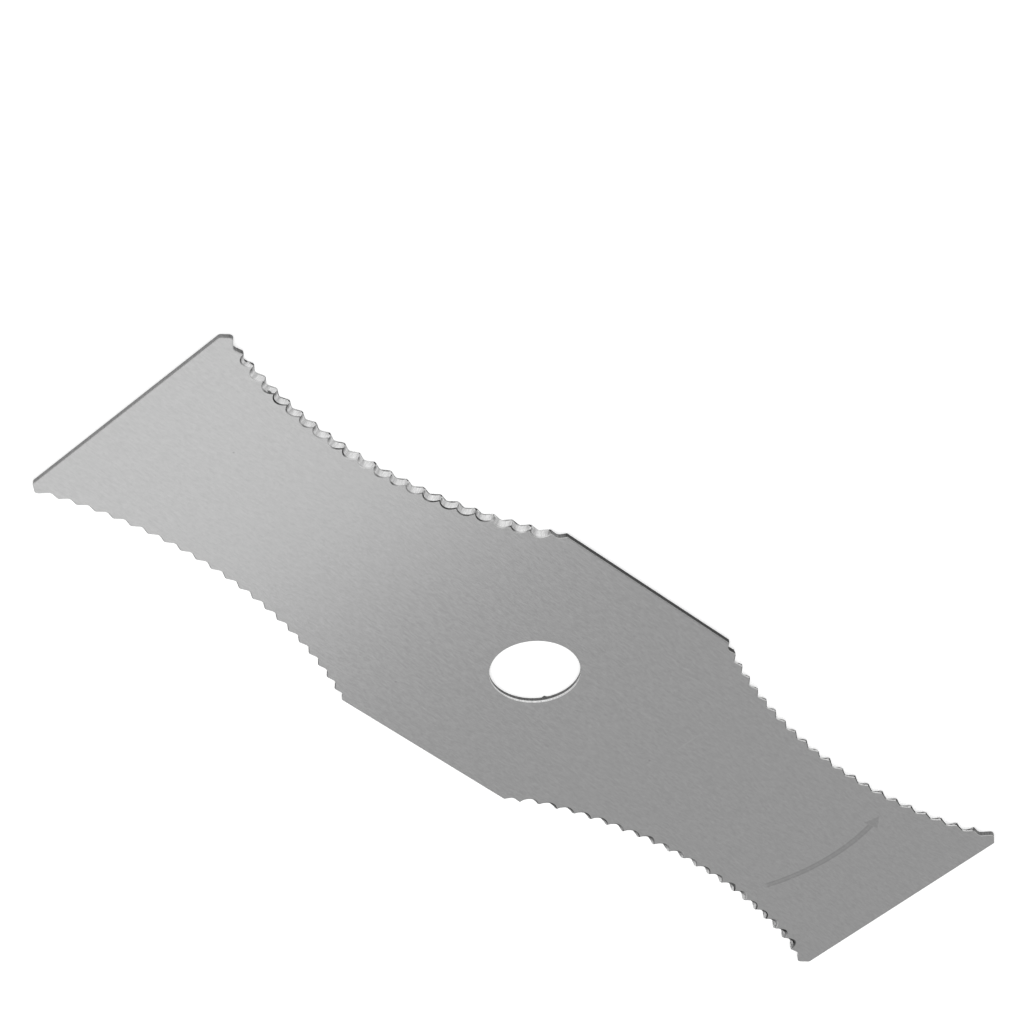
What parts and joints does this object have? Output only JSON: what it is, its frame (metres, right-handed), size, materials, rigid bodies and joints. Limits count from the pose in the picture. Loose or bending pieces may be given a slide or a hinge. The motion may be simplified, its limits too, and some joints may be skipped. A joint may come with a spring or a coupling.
{
  "type": "grass trimmer blade",
  "caption": "Flat double-ended steel blade for a grass trimmer, with a round centre bore, hollow toothed edges and slanted flutes ground into the teeth.",
  "frame": {"origin": "on the bore axis, at the lower face of the blade", "axes": "+X along the wings, towards the marked wing, +Z along the bore axis, out of the marked face"},
  "size_m": [0.3048, 0.0888, 0.0016],
  "materials": {
    "blade_steel": "satin brushed faces, bright ground flutes"
  },
  "bodies": {
    "root": {"blade": "blade_steel"}
  },
  "joints": []
}
